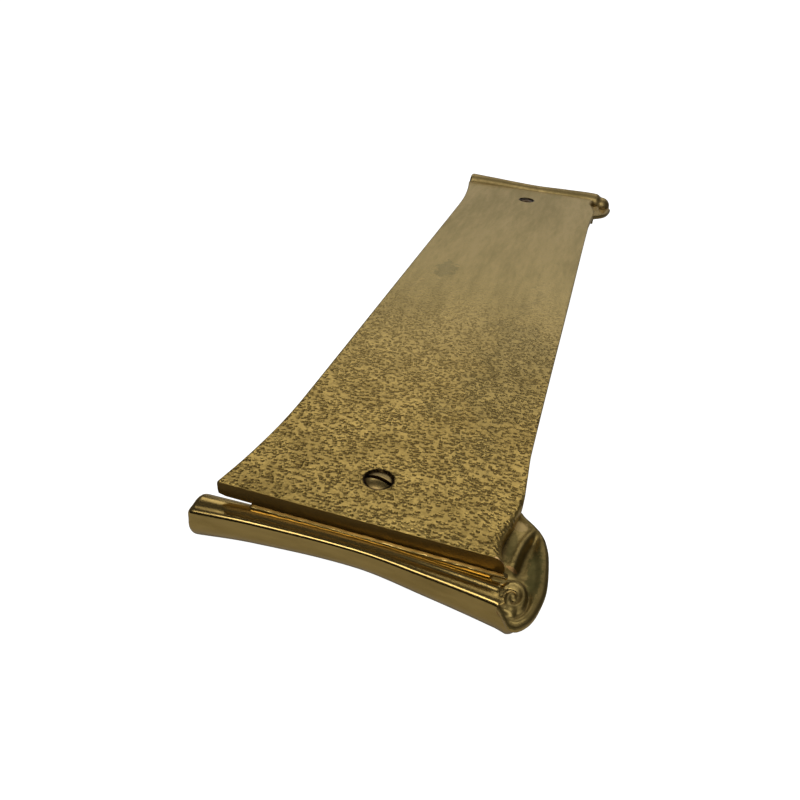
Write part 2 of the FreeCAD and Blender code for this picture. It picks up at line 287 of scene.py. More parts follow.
def plate_place(turn, share):
    """A point of the plate's skin: turn round the section, share along it from the lower end."""
    lip = 0.006
    if share < lip:
        inset = END_LIP * share / lip
    elif share > 1 - lip:
        inset = PLATE_LENGTH - END_LIP * (1 - share) / lip
    else:
        # rows lie closer together at the lower end, where the pits are deepest
        run = (share - lip) / (1 - 2 * lip)
        inset = END_LIP + (PLATE_LENGTH - 2 * END_LIP) * (0.66 * run + 0.34 * run * run)
    near_end = min(inset, PLATE_LENGTH - inset)
    drop = END_LIP_DROP * (1 - ease(0, END_LIP, near_end))
    left = along_stations(LEFT_SIDE, near_end)
    right = along_stations(RIGHT_SIDE, near_end)
    rounding = along_stations(RIGHT_ROUND, near_end)
    across, depth, fade = plate_section(turn, left, right, rounding, drop)
    if fade > 0:
        fade *= ease(*FLAT_ROUND_HOLE, screw_distance(across, inset))
        depth += UNEVEN_DEPTH * fade * unevenness_left(across, inset) * face_unevenness(across, inset)
    return at_end(LOWER, across, inset, depth)


def sink_screw_hole(bm, side):
    """Open a countersunk hole through the top skin of the plate and close it lower down."""
    centre = at_end(side, *SCREWS[side], 0)
    radius = SINK_MOUTH * MM

    def away(vert):
        return math.hypot(vert.co.x - centre.x, vert.co.y - centre.y)

    inside = [face for face in bm.faces
              if face.calc_center_median().z > centre.z - 2 * MM
              and all(away(vert) < radius + 0.12 * MM for vert in face.verts)]
    bmesh.ops.delete(bm, geom=inside, context="FACES")
    ring = [edge for edge in bm.edges if edge.is_boundary and away(edge.verts[0]) < radius + 1.2 * MM]
    for vert in {vert for edge in ring for vert in edge.verts}:
        spoke = Vector((vert.co.x - centre.x, vert.co.y - centre.y, 0)).normalized() * radius
        vert.co = Vector((centre.x + spoke.x, centre.y + spoke.y, vert.co.z))
    for new_radius, depth in SINK_STEPS:
        grown = bmesh.ops.extrude_edge_only(bm, edges=ring)["geom"]
        ring = [item for item in grown if isinstance(item, bmesh.types.BMEdge)]
        for vert in (item for item in grown if isinstance(item, bmesh.types.BMVert)):
            spoke = Vector((vert.co.x - centre.x, vert.co.y - centre.y, 0)).normalized() * new_radius * MM
            vert.co = centre + spoke - Vector((0, 0, depth * MM))
    bmesh.ops.contextual_create(bm, geom=ring)


def mark_plate(bm):
    """Store where the plate is rubbed and pitted, and where colour is painted: shade on its end face and in
    its holes, a highlight on its arris.
    """
    names = ("rubbed", "sunk", "end_face_shade", "arris", "grained")
    rubbed, sunk, end_face_shade, arris, grained = (bm.verts.layers.float.new(name) for name in names)
    for vert in bm.verts:
        across, inset, depth = from_end(LOWER, vert.co)
        on_end = inset < 0.03
        on_arris = 0.05 < inset < 0.3 and across > 31.4 and 0.2 < depth < 3.8
        in_hole = depth < PLATE_THICK and screw_distance(across, inset) < SINK_MOUTH + 0.05
        on_face = ease(2.6, 1.2, depth) if 0.2 < inset < PLATE_LENGTH - 0.2 else 0.0
        vert[rubbed] = ease(RUBBED_FROM, RUBBED_TO, inset)
        vert[grained] = on_face * (1 - 0.93 * vert[rubbed])
        # painted shade: the whole end face is stored to be coloured dark brown
        vert[end_face_shade] = float(on_end)
        # painted highlight: the arris at the plate's corner is stored to be coloured bright copper
        vert[arris] = float(on_arris)
        # painted shade: the walls of the screw holes are stored to be coloured near black
        vert[sunk] = float(in_hole)


def make_face_plate():
    bm = bmesh.new()
    made = bmesh.ops.create_grid(bm, x_segments=PLATE_COLUMNS, y_segments=PLATE_ROWS, size=1)["verts"]
    for vert in made:
        vert.co = plate_place((vert.co.x + 1) / 2, (vert.co.y + 1) / 2)
    bmesh.ops.remove_doubles(bm, verts=made, dist=1e-6)
    for y in (-PLATE_END, PLATE_END):
        rim = [edge for edge in bm.edges
               if edge.is_boundary and all(abs(vert.co.y / MM - y) < 0.01 for vert in edge.verts)]
        bmesh.ops.contextual_create(bm, geom=rim)
    for side in (LOWER, UPPER):
        sink_screw_hole(bm, side)
    mark_plate(bm)
    return finish_piece("pebbled_face_plate", bm, 50)


# ---------------------------------------------------------------- scroll castings

def roll_radius(side, across, angle):
    """Radius of the roll's section; angle in degrees, 0 outwards along the plate, 90 up."""
    base = along_stations(ROLLS[side], across, 3)
    angle = (angle + 180) % 360 - 180
    if side == UPPER:
        return base * (0.985 + 0.04 * swell(angle, 60, 30))
    ridge = 0.19 * swell(angle, 45, 15)
    keel = 0.10 * swell(angle, -65, 25)
    flute = 0.05 * ease(-4, 26, across) * swell(angle, 76, 9)
    return base * (0.965 + ridge + keel - flute)


def roll_centre(side, across):
    beyond = along_stations(ROLLS[side], across, 1)
    below = along_stations(ROLLS[side], across, 2)
    return beyond, below


def about_roll(side, across, inset, depth):
    """A place's distance from the roll's centre line, and its direction as in roll_radius."""
    beyond, below = roll_centre(side, min(across, ROLL_RIGHT))
    out, rise = -inset - beyond, below - depth
    return math.hypot(out, rise), math.degrees(math.atan2(rise, out))


def roll_place(side, turn, share):
    """A point of the roll's skin: turn round its section, share along it from the left end."""
    cap, closing = 0.06, 5
    left, right_round = ROLL_LEFT[side], ROLL_ROUND[side]
    if share < cap:
        swing = math.radians(90) * (share / cap)
        across = left + ROLL_LEFT_ROUND * (1 - math.cos(swing))
        shrink = ROLL_LEFT_ROUND * (1 - math.sin(swing))
        fraction = min(1.0, share / cap * closing)
    elif share > 1 - cap:
        swing = math.radians(90) * ((1 - share) / cap)
        across = ROLL_RIGHT + right_round * math.cos(swing)
        shrink = right_round * (1 - math.sin(swing))
        fraction = min(1.0, (1 - share) / cap * closing)
    else:
        start = left + ROLL_LEFT_ROUND
        across = start + (ROLL_RIGHT - start) * (share - cap) / (1 - 2 * cap)
        shrink = 0
        fraction = 1
    angle = 360 * turn
    across_for_shape = min(across, ROLL_RIGHT)
    radius = (roll_radius(side, across_for_shape, angle) - shrink) * fraction
    beyond, below = roll_centre(side, across_for_shape)
    out = math.cos(math.radians(angle)) * radius
    rise = math.sin(math.radians(angle)) * radius
    return at_end(side, across, -(beyond + out), below - rise)


def ear_outline(side):
    """The ear's outline on this end, outer edge first."""
    rim = [(36 + (across - 36) * EAR_NARROWING[side] if across > 36 else across, inset)
           for across, inset in EAR_RIM]
    return rim + EAR_ROOT


def ear_edge(side):
    """Short straight pieces along the outer edge of the ear's smooth outline."""
    outline = ear_outline(side)
    pieces_between = 8
    steps = pieces_between * (len(EAR_RIM) - 1)
    smooth = [round_loop(outline, step / pieces_between / len(outline)) for step in range(steps + 1)]
    return list(zip(smooth, smooth[1:]))


EAR_OUTLINES = {side: ear_outline(side) for side in END_NAMES}
EAR_EDGES = {side: ear_edge(side) for side in END_NAMES}


def rim_distance(side, across, inset):
    """Distance in plan from the ear's outer edge."""
    best = math.inf
    for (ax, ay), (bx, by) in EAR_EDGES[side]:
        dx, dy = bx - ax, by - ay
        share = min(1, max(0, ((across - ax) * dx + (inset - ay) * dy) / (dx * dx + dy * dy)))
        best = min(best, math.hypot(across - ax - share * dx, inset - ay - share * dy))
    return best


def eye_relief(across, inset):
    """Height of the coiled eye above the ear, with a shallow ring sunk round it."""
    ex = (across - EYE_MIDDLE[0]) / EYE_REACH[0]
    ey = (inset - EYE_MIDDLE[1]) / EYE_REACH[1]
    reach = math.hypot(ex, ey)
    if reach > 1.5:
        return 0.0
    turn = math.atan2(ey, ex) / (2 * math.pi)
    coil = 0.34 * math.cos(2 * math.pi * (1.25 * reach - turn + 0.12)) * ease(0.0, 0.35, reach)
    inside = 1 - ease(0.84, 1.10, reach)
    return inside * (0.55 + coil) - 0.22 * swell(reach, 1.12, 0.14)


def ear_depth(side, across, inset):
    """Depth of the ear's top below the plate's face."""
    edge = rim_distance(side, across, inset)
    rounded_edge = 0.45 * ease(0.9, 0.0, edge)
    dish = 0.85 * ease(1.2, 3.6, edge)
    depth = along_stations(RIM_DEPTH, inset) + rounded_edge + dish
    leaf_edge = along_stations(LEAF_EDGE, inset)
    present = ease(-0.5, 3.0, inset) * ease(0.4, 2.4, edge)
    trough = 0.7 * swell(across, leaf_edge + 1.9, 1.2)
    depth += present * trough
    leaf = present * ease(leaf_edge + 1.4, leaf_edge + 0.1, across)
    leaf_depth = 3.45 - 0.5 * swell(across, leaf_edge - 0.4, 0.9)
    depth = depth * (1 - leaf) + min(depth, leaf_depth) * leaf
    return depth - eye_relief(across, inset) * EYE_RELIEF[side] - EAR_LIFT[side]


def ear_place(side, turn, share):
    """A point of the ear's skin: turn round its outline, share from the top's middle to the bottom's."""
    across, inset = round_loop(EAR_OUTLINES[side], turn)
    top_share, wall_share = 0.62, 0.78
    rim = along_stations(RIM_DEPTH, inset) - EAR_LIFT[side]
    wall = 2.5 + 0.5 * ease(-3, -10, inset)

    def spread_out(spread):
        return (EAR_MIDDLE[0] + (across - EAR_MIDDLE[0]) * spread,
                EAR_MIDDLE[1] + (inset - EAR_MIDDLE[1]) * spread)

    if share <= top_share:
        x, y = spread_out((share / top_share) ** 0.8)
        return at_end(side, x, y, ear_depth(side, x, y))
    if share <= wall_share:
        down = (share - top_share) / (wall_share - top_share)
        start = ear_depth(side, across, inset)
        bow = 0.15 * math.sin(math.pi * down) - EAR_UNDERCUT * ease(0.55, 1.0, down) ** 2
        x, y = spread_out(1 + bow / EAR_SPREAD)
        return at_end(side, x, y, start + (rim + wall - start) * down)
    under = 1 - (share - wall_share) / (1 - wall_share)
    x, y = spread_out((1 - EAR_UNDERCUT / EAR_SPREAD) * under)
    return at_end(side, x, y, rim + wall + 0.8 * (1 - under * under))


def settle_on_roll(bm, side):
    """Bring the remeshed skin back onto the exact roll and ear wherever it already lies close."""
    right_round = ROLL_ROUND[side]
    for vert in bm.verts:
        across, inset, depth = from_end(side, vert.co)
        if ROLL_LEFT[side] + 1.4 < across < ROLL_RIGHT + 0.7 * right_round:
            radius, angle = about_roll(side, across, inset, depth)
            past = max(0.0, across - ROLL_RIGHT)
            shrink = right_round - math.sqrt(right_round**2 - past**2)
            wanted = roll_radius(side, min(across, ROLL_RIGHT), angle) - shrink
            pull = 1 - ease(0.12, 0.30, abs(radius - wanted))
            if pull > 0:
                beyond, below = roll_centre(side, min(across, ROLL_RIGHT))
                reach = radius + pull * (wanted - radius)
                out = reach * math.cos(math.radians(angle))
                rise = reach * math.sin(math.radians(angle))
                vert.co = at_end(side, across, -(beyond + out), below - rise)
                continue
        if across > 33 and vert.normal.z > 0.35 and rim_distance(side, across, inset) > 0.5:
            wanted = ear_depth(side, across, inset)
            pull = 1 - ease(0.15, 0.45, abs(depth - wanted))
            vert.co.z -= pull * (wanted - depth) * MM


def block_between(low, high):
    """A block with two of its opposite corners at low and high."""
    bm = bmesh.new()
    bmesh.ops.create_cube(bm, size=1)
    size = Vector((high.x - low.x, abs(high.y - low.y), high.z - low.z))
    bmesh.ops.scale(bm, vec=size, verts=bm.verts[:])
    bmesh.ops.translate(bm, vec=(low + high) / 2, verts=bm.verts[:])
    return bm


def web_shell(side):
    """The narrow web that carries the roll under the plate's end, left rough from the mould."""
    bm = block_between(at_end(side, WEB_LEFT, -WEB_BEYOND[side], WEB_BOTTOM),
                       at_end(side, WEB_RIGHT, WEB_INNER, WEB_TOP[side]))
    bmesh.ops.bevel(bm, geom=bm.edges[:], offset=WEB_ARRIS * MM, affect="EDGES", segments=2, profile=0.5,
                    material=-1)
    lengthwise = [edge for edge in bm.edges
                  if abs(edge.verts[0].co.x - edge.verts[1].co.x) > 40 * MM]
    bmesh.ops.subdivide_edges(bm, edges=lengthwise, cuts=150, use_grid_fill=True)
    for vert in bm.verts:
        spot = vert.co / MM
        vert.co.z += 0.10 * MM * noise.noise(spot / 1.372)
        vert.co.y -= side * 0.12 * MM * (noise.noise(spot / 2.2 + Vector((5, 0, 0))) + 0.6)
    return bm


def tap_shape(side):
    """The space inside the tapped hole: rings of crest and root, one above another."""
    bm = bmesh.new()
    ring = bmesh.ops.create_circle(bm, cap_ends=True, segments=40, radius=TAP_MOUTH * MM)["verts"]
    centre = at_end(side, 0, TAP_INSET, FACE + 1)
    bmesh.ops.translate(bm, vec=centre, verts=ring)
    top = bm.faces[:]
    for step in range(TAP_TURNS):
        radius = (TAP_ROOT, TAP_CREST)[step % 2]
        rise = TAP_START if step == 0 else TAP_HALF_PITCH
        grown = bmesh.ops.extrude_face_region(bm, geom=top)["geom"]
        verts = [item for item in grown if isinstance(item, bmesh.types.BMVert)]
        bmesh.ops.delete(bm, geom=top, context="FACES_ONLY")
        top = [item for item in grown if isinstance(item, bmesh.types.BMFace)]
        for vert in verts:
            spoke = Vector((vert.co.x - centre.x, vert.co.y - centre.y, 0)).normalized() * radius * MM
            vert.co = Vector((centre.x + spoke.x, centre.y + spoke.y, vert.co.z + rise * MM))
    bmesh.ops.contextual_create(bm, geom=[edge for edge in bm.edges if edge.is_boundary])
    bmesh.ops.recalc_face_normals(bm, faces=bm.faces[:])
    return bm


def foot_shell(side):
    """The machined foot under the plate, with its tapped bolt hole."""
    high = at_end(side, FOOT_HALF, FOOT_INNER, PLATE_THICK)
    bm = block_between(at_end(side, -FOOT_HALF, FOOT_OUTER, FACE), high)
    upright = [edge for edge in bm.edges
               if all(abs(vert.co.y - high.y) < 1e-6 for vert in edge.verts)
               and abs(edge.verts[0].co.z - edge.verts[1].co.z) > 5 * MM]
    bmesh.ops.bevel(bm, geom=upright, offset=FOOT_CORNER * MM, affect="EDGES", segments=14, profile=0.5,
                    material=-1)
    lower_edges = [edge for edge in bm.edges if all(vert.co.z < 0.1 * MM for vert in edge.verts)]
    bmesh.ops.bevel(bm, geom=lower_edges, offset=FOOT_ARRIS * MM, affect="EDGES", segments=2, profile=0.5,
                    material=-1)
    return cut_with(bm, tap_shape(side))


def mark_hollows(bm):
    """Store how hollow the skin is at each vertex, 0 on flats and ridges, 1 in sharp hollows; the finishes
    paint shade there.
    """
    hollow = bm.verts.layers.float.new("hollow")
    bm.normal_update()
    for vert in bm.verts:
        around = [edge.other_vert(vert).co for edge in vert.link_edges]
        middle = sum(around, Vector()) / len(around)
        vert[hollow] = (middle - vert.co).dot(vert.normal) / (0.03 * MM)
    for _ in range(3):
        softened = [sum((edge.other_vert(vert)[hollow] for edge in vert.link_edges), vert[hollow])
                    / (1 + len(vert.link_edges)) for vert in bm.verts]
        for vert, value in zip(bm.verts, softened):
            vert[hollow] = value
    for vert in bm.verts:
        vert[hollow] = min(1.0, max(0.0, vert[hollow]))


def mark_ear(bm, side):
    """Store 1 on the upper skin of the ear and 0 on the roll."""
    ear = bm.verts.layers.float.new("ear")
    bm.normal_update()
    for vert in bm.verts:
        across, inset, depth = from_end(side, vert.co)
        vert[ear] = 0.0
        if across > 31 and vert.normal.z > 0.15:
            radius, angle = about_roll(side, across, inset, depth)
            off_roll = abs(radius - roll_radius(side, min(across, ROLL_RIGHT), angle))
            vert[ear] = 0.0 if off_roll < 0.2 and across < 37.5 else 1.0


def mark_crease(bm, side):
    """Count the side of the roll that faces the plate's end as hollow, so that painted shade goes there."""
    hollow = bm.verts.layers.float["hollow"]
    for vert in bm.verts:
        across, inset, depth = from_end(side, vert.co)
        angle = about_roll(side, across, inset, depth)[1] % 360
        if across < 35 and 90 < angle < 270:
            vert[hollow] = max(vert[hollow], ease(118, 140, angle) * ease(34.5, 32, across))


def relax(bm, verts, times):
    for _ in range(times):
        bmesh.ops.smooth_vert(bm, verts=verts, factor=0.5, use_axis_x=True, use_axis_y=True,
                              use_axis_z=True)


# The second material of a casting, on its web and foot
AS_CAST = 1


def make_scroll_casting(side):
    bm = bmesh.new()
    shell_from_grid(bm, 120, 240, lambda u, v: roll_place(side, u, v))
    ear = bmesh.new()
    shell_from_grid(ear, 220, 120, lambda u, v: ear_place(side, u, v))
    join_shell(bm, ear)
    bm = with_modifier(bm, "REMESH", mode="VOXEL", voxel_size=VOXEL * MM)
    relax(bm, bm.verts[:], 3)
    bm.normal_update()
    settle_on_roll(bm, side)
    join_at_ear = [vert for vert in bm.verts
                   if 33.4 < vert.co.x / MM < 35.6 and -10.5 < from_end(side, vert.co)[1] < 0.5]
    relax(bm, bm.verts[:], 1)
    relax(bm, join_at_ear, 8)
    mark_hollows(bm)
    mark_ear(bm, side)
    if side == LOWER:
        mark_crease(bm, side)
    for shell in (web_shell(side), foot_shell(side)):
        for face in shell.faces:
            face.material_index = AS_CAST
        join_shell(bm, shell)
    return finish_piece(END_NAMES[side] + "_scroll_casting", bm, 40)


# ---------------------------------------------------------------- finishes

def add_node(tree, kind, inputs=None, **settings):
    """Add a node, set its options, and fill its inputs with values or links."""
    made = tree.nodes.new(kind)
    for key, value in settings.items():
        setattr(made, key, value)
    for key, value in (inputs or {}).items():
        if isinstance(value, bpy.types.NodeSocket):
            tree.links.new(value, made.inputs[key])
        else:
            made.inputs[key].default_value = value
    return made


def new_group(name, inputs, outputs):
    """A shader node group with named sockets: inputs are (name, kind, default)."""
    group = bpy.data.node_groups.new(name, "ShaderNodeTree")
    for label, kind, default in inputs:
        socket = group.interface.new_socket(label, in_out="INPUT", socket_type=kind)
        socket.default_value = default
    for label, kind in outputs:
        group.interface.new_socket(label, in_out="OUTPUT", socket_type=kind)
    return group, group.nodes.new("NodeGroupInput"), group.nodes.new("NodeGroupOutput")


def ramp(tree, factor, low, high):
    """0 below low, 1 above high, smooth between."""
    made = add_node(tree, "ShaderNodeMapRange", {"Value": factor, "From Min": low, "From Max": high},
                    interpolation_type="SMOOTHSTEP")
    return made.outputs["Result"]


def maths(tree, operation, first, second=0.0):
    return add_node(tree, "ShaderNodeMath", {0: first, 1: second}, operation=operation).outputs[0]


def blend_colours(tree, factor, first, second):
    """Mix two colours: the mix node takes them at inputs 6 and 7 and gives its colour at output 2."""
    made = tree.nodes.new("ShaderNodeMix")
    made.data_type = "RGBA"
    for index, value in ((0, factor), (6, first), (7, second)):
        if isinstance(value, bpy.types.NodeSocket):
            tree.links.new(value, made.inputs[index])
        else:
            made.inputs[index].default_value = value
    return made.outputs[2]


def build_tarnish_group():
    """Cloudy tarnish over a metal: two tones, drifting roughness, and fine surface unevenness."""
    group, given, result = new_group(
        "tarnished metal",
        [("Bright", "NodeSocketColor", (1, 1, 1, 1)), ("Deep", "NodeSocketColor", (0, 0, 0, 1)),
         ("Smooth", "NodeSocketFloat", 0.2), ("Rough", "NodeSocketFloat", 0.5),
         ("Tarnish", "NodeSocketFloat", 0.5), ("Stretch", "NodeSocketVector", (1, 1, 1))],
        [("Color", "NodeSocketColor"), ("Roughness", "NodeSocketFloat"), ("Height", "NodeSocketFloat"),
         ("Cloud", "NodeSocketFloat")])
    place = group.nodes.new("ShaderNodeTexCoord").outputs["Object"]
    drawn = add_node(group, "ShaderNodeVectorMath", {0: place, 1: given.outputs["Stretch"]},
                     operation="MULTIPLY").outputs[0]
    cloud = add_node(group, "ShaderNodeTexNoise",
                     {"Vector": drawn, "Scale": 60.0, "Detail": 5.0, "Roughness": 0.6}).outputs["Fac"]
    mottle = add_node(group, "ShaderNodeTexNoise",
                      {"Vector": drawn, "Scale": 340.0, "Detail": 4.0, "Roughness": 0.65}).outputs["Fac"]
    fine = add_node(group, "ShaderNodeTexNoise",
                    {"Vector": drawn, "Scale": 1500.0, "Detail": 3.0, "Roughness": 0.6}).outputs["Fac"]
    both = maths(group, "ADD", maths(group, "MULTIPLY", cloud, 0.6), maths(group, "MULTIPLY", mottle, 0.4))
    shade = maths(group, "MULTIPLY", ramp(group, both, 0.36, 0.64), given.outputs["Tarnish"])
    colour = blend_colours(group, shade, given.outputs["Bright"], given.outputs["Deep"])
    rough = add_node(group, "ShaderNodeMapRange",
                     {"Value": both, "From Min": 0.35, "From Max": 0.65,
                      "To Min": given.outputs["Smooth"],
                      "To Max": given.outputs["Rough"]}).outputs["Result"]
    height = maths(group, "ADD", maths(group, "MULTIPLY", fine, 0.35),
                   maths(group, "MULTIPLY", mottle, 0.65))
    for label, value in (("Color", colour), ("Roughness", rough), ("Height", height), ("Cloud", both)):
        group.links.new(value, result.inputs[label])
    return group


def build_patch_group():
    """A ragged patch round one place: 1 in its middle, 0 outside."""
    group, given, result = new_group(
        "ragged patch",
        [("Centre", "NodeSocketVector", (0, 0, 0)), ("Reach", "NodeSocketVector", (0.01, 0.01, 0.01)),
         ("Ragged", "NodeSocketFloat", 0.5), ("Scale", "NodeSocketFloat", 600.0)],
        [("Mask", "NodeSocketFloat")])
    place = group.nodes.new("ShaderNodeTexCoord").outputs["Object"]
    apart = add_node(group, "ShaderNodeVectorMath", {0: place, 1: given.outputs["Centre"]},
                     operation="SUBTRACT").outputs[0]
    scaled = add_node(group, "ShaderNodeVectorMath", {0: apart, 1: given.outputs["Reach"]},
                      operation="DIVIDE").outputs[0]
    away = add_node(group, "ShaderNodeVectorMath", {0: scaled}, operation="LENGTH").outputs["Value"]
    rag = add_node(group, "ShaderNodeTexNoise", {"Vector": place, "Scale": given.outputs["Scale"],
                                                 "Detail": 4.0, "Roughness": 0.7}).outputs["Fac"]
    offset = maths(group, "MULTIPLY", maths(group, "SUBTRACT", rag, 0.5),
                   maths(group, "MULTIPLY", given.outputs["Ragged"], 4.0))
    mask = ramp(group, maths(group, "ADD", away, offset), 1.15, 0.75)
    group.links.new(mask, result.inputs["Mask"])
    return group


TARNISH = build_tarnish_group()
PATCH = build_patch_group()


def new_material(name):
    material = bpy.data.materials.new(name)
    material.use_nodes = True
    tree = material.node_tree
    shader = tree.nodes["Principled BSDF"]
    shader.inputs["Metallic"].default_value = 1.0
    return material, tree, shader


def tarnish(tree, bright, deep, smooth, rough, amount, stretch=(1, 1, 1)):
    made = tree.nodes.new("ShaderNodeGroup")
    made.node_tree = TARNISH
    made.inputs["Bright"].default_value = (*bright, 1)
    made.inputs["Deep"].default_value = (*deep, 1)
    made.inputs["Smooth"].default_value = smooth
    made.inputs["Rough"].default_value = rough
    made.inputs["Tarnish"].default_value = amount
    made.inputs["Stretch"].default_value = stretch
    return made.outputs


def patch(tree, centre, reach, ragged, scale=600.0):
    made = tree.nodes.new("ShaderNodeGroup")
    made.node_tree = PATCH
    made.inputs["Centre"].default_value = centre
    made.inputs["Reach"].default_value = tuple(value * MM for value in reach)
    made.inputs["Ragged"].default_value = ragged
    made.inputs["Scale"].default_value = scale
    return made.outputs["Mask"]


def own_attribute(tree, name):
    return add_node(tree, "ShaderNodeAttribute", attribute_name=name).outputs["Fac"]


def build_pits_group():
    """Close-set shallow pits, drawn out across the plate and unevenly shaped."""
    group, given, result = new_group(
        "cast pits",
        [("Pitch", "NodeSocketFloat", 0.0013), ("Amount", "NodeSocketFloat", 1.0)],
        [("Pit", "NodeSocketFloat"), ("Height", "NodeSocketFloat")])
    place = group.nodes.new("ShaderNodeTexCoord").outputs["Object"]
    scale = maths(group, "DIVIDE", 1.0, given.outputs["Pitch"])
    drawn = add_node(group, "ShaderNodeVectorMath", {0: place, 1: (0.82, 1.05, 0.0)},
                     operation="MULTIPLY").outputs[0]
    drift = add_node(group, "ShaderNodeTexNoise",
                     {"Vector": drawn, "Scale": 420.0, "Detail": 2.0}).outputs["Color"]
    centred = add_node(group, "ShaderNodeVectorMath", {0: drift, 1: (0.5, 0.5, 0.5)},
                       operation="SUBTRACT").outputs[0]
    shift = add_node(group, "ShaderNodeVectorMath", {0: centred, "Scale": 0.0013},
                     operation="SCALE").outputs[0]
    bent = add_node(group, "ShaderNodeVectorMath", {0: drawn, 1: shift}, operation="ADD").outputs[0]
    nearest = add_node(group, "ShaderNodeTexVoronoi", {"Vector": bent, "Scale": scale,
                                                       "Randomness": 0.8}).outputs["Distance"]
    size = add_node(group, "ShaderNodeTexNoise",
                    {"Vector": drawn, "Scale": 900.0, "Detail": 2.0}).outputs["Fac"]
    edge = maths(group, "ADD", nearest, maths(group, "MULTIPLY", maths(group, "SUBTRACT", size, 0.5), 0.35))
    pit = maths(group, "MULTIPLY", ramp(group, edge, 0.64, 0.12), given.outputs["Amount"])
    group.links.new(pit, result.inputs["Pit"])
    group.links.new(maths(group, "SUBTRACT", 1.0, pit), result.inputs["Height"])
    return group


PITS = build_pits_group()


def make_pebbled_brass():
    material, tree, shader = new_material("pebbled brass")
    base = tarnish(tree, (0.67, 0.465, 0.135), (0.46, 0.315, 0.088), 0.32, 0.46, 0.75)
    rubbed = tarnish(tree, (0.62, 0.46, 0.175), (0.42, 0.32, 0.122), 0.30, 0.44, 0.9, (1, 0.2, 1))
    worn = own_attribute(tree, "rubbed")
    pits = tree.nodes.new("ShaderNodeGroup")
    pits.node_tree = PITS
    pits.inputs["Pitch"].default_value = 0.00095
    tree.links.new(own_attribute(tree, "grained"), pits.inputs["Amount"])
    pit = pits.outputs["Pit"]
    colour = blend_colours(tree, worn, base["Color"], rubbed["Color"])
    colour = blend_colours(tree, maths(tree, "MULTIPLY", pit, 0.80), colour, (0.15, 0.09, 0.022, 1))
    cloud = patch(tree, at_end(LOWER, 20, 80, 0), (14, 44, 8), 1.1, 60.0)
    colour = blend_colours(tree, maths(tree, "MULTIPLY", cloud, 0.30), colour, (0.20, 0.15, 0.05, 1))
    stain = patch(tree, at_end(LOWER, -18.6, 149.4, 0), (4, 9, 8), 0.8, 260.0)
    colour = blend_colours(tree, maths(tree, "MULTIPLY", stain, 0.35), colour, (0.15, 0.14, 0.05, 1))
    # painted shade: the plate's end face is coloured dark brown
    end_face_shade = own_attribute(tree, "end_face_shade")
    colour = blend_colours(tree, maths(tree, "MULTIPLY", end_face_shade, 0.8), colour, (0.13, 0.075, 0.02, 1))
    # painted highlight: bright copper on the arris at the plate's corner
    colour = blend_colours(tree, own_attribute(tree, "arris"), colour, (0.95, 0.62, 0.28, 1))
    # painted shade: the countersinks round the screws are coloured near black
    sunk = own_attribute(tree, "sunk")
    colour = blend_colours(tree, maths(tree, "MULTIPLY", sunk, 0.95), colour, (0.02, 0.01, 0.004, 1))
    tree.links.new(colour, shader.inputs["Base Color"])
    rough = blend_colours(tree, worn, base["Roughness"], rubbed["Roughness"])
    rough = maths(tree, "ADD", rough, maths(tree, "MULTIPLY", pit, 0.15))
    tree.links.new(rough, shader.inputs["Roughness"])
    fine = add_node(tree, "ShaderNodeBump", {"Height": base["Height"], "Strength": 0.3, "Distance": 0.0003})
    bump = add_node(tree, "ShaderNodeBump", {"Height": pits.outputs["Height"], "Strength": 0.9,
                                             "Distance": 0.00035, "Normal": fine.outputs["Normal"]})
    tree.links.new(bump.outputs["Normal"], shader.inputs["Normal"])
    return material


def make_polished_brass():
    """Rolls rubbed bright, the ears dull and stained, with painted shade in the hollows and two painted
    highlights.
    """
    material, tree, shader = new_material("polished brass")
    base = tarnish(tree, (0.72, 0.50, 0.165), (0.50, 0.34, 0.10), 0.15, 0.30, 0.8, (0.25, 1, 1))
    dull = tarnish(tree, (0.38, 0.275, 0.095), (0.17, 0.125, 0.04), 0.36, 0.56, 1.0)
    ear = own_attribute(tree, "ear")
    colour = blend_colours(tree, maths(tree, "MULTIPLY", ear, 0.95), base["Color"], dull["Color"])
    for spot, reach, ragged, strength, tone in (
            (at_end(LOWER, 40.6, 3.2, 5.0), (1.9, 7.5, 2.5), 0.45, 0.55, (0.06, 0.075, 0.022, 1)),
            (at_end(LOWER, 34.3, 8.0, 3.3), (1.5, 5.0, 1.5), 0.40, 0.55, (0.07, 0.065, 0.018, 1)),
            (at_end(LOWER, 23.7, -4.7, 12.5), (1.1, 2.0, 2.0), 0.25, 0.35, (0.12, 0.13, 0.03, 1)),
            (at_end(LOWER, 37.9, -9.4, 9.0), (1.0, 1.6, 1.2), 0.25, 0.7, (0.13, 0.05, 0.015, 1)),
            # braze speckles by the plate's corner in bright orange, made brighter as a painted highlight
            (at_end(LOWER, 35.6, 1.4, 4.2), (1.5, 0.5, 1.2), 0.9, 0.55, (0.75, 0.42, 0.16, 1)),
            # painted highlight: a light gold patch on the top of the ear near its root
            (at_end(LOWER, 35.3, 15.0, 3.3), (2.0, 1.6, 1.5), 0.35, 0.5, (0.70, 0.50, 0.22, 1))):
        mask = patch(tree, spot, reach, ragged, 900.0)
        colour = blend_colours(tree, maths(tree, "MULTIPLY", mask, strength), colour, tone)
    # painted shade: hollows and the roll's side facing the plate's end are coloured dark brown
    hollow = ramp(tree, own_attribute(tree, "hollow"), 0.15, 0.9)
    colour = blend_colours(tree, maths(tree, "MULTIPLY", hollow, 0.8), colour, (0.06, 0.035, 0.01, 1))
    tree.links.new(colour, shader.inputs["Base Color"])
    rough = blend_colours(tree, ear, base["Roughness"], dull["Roughness"])
    tree.links.new(rough, shader.inputs["Roughness"])
    bump = add_node(tree, "ShaderNodeBump", {"Height": base["Height"], "Distance": 0.0003,
                                             "Strength": 0.12})
    tree.links.new(bump.outputs["Normal"], shader.inputs["Normal"])
    return material


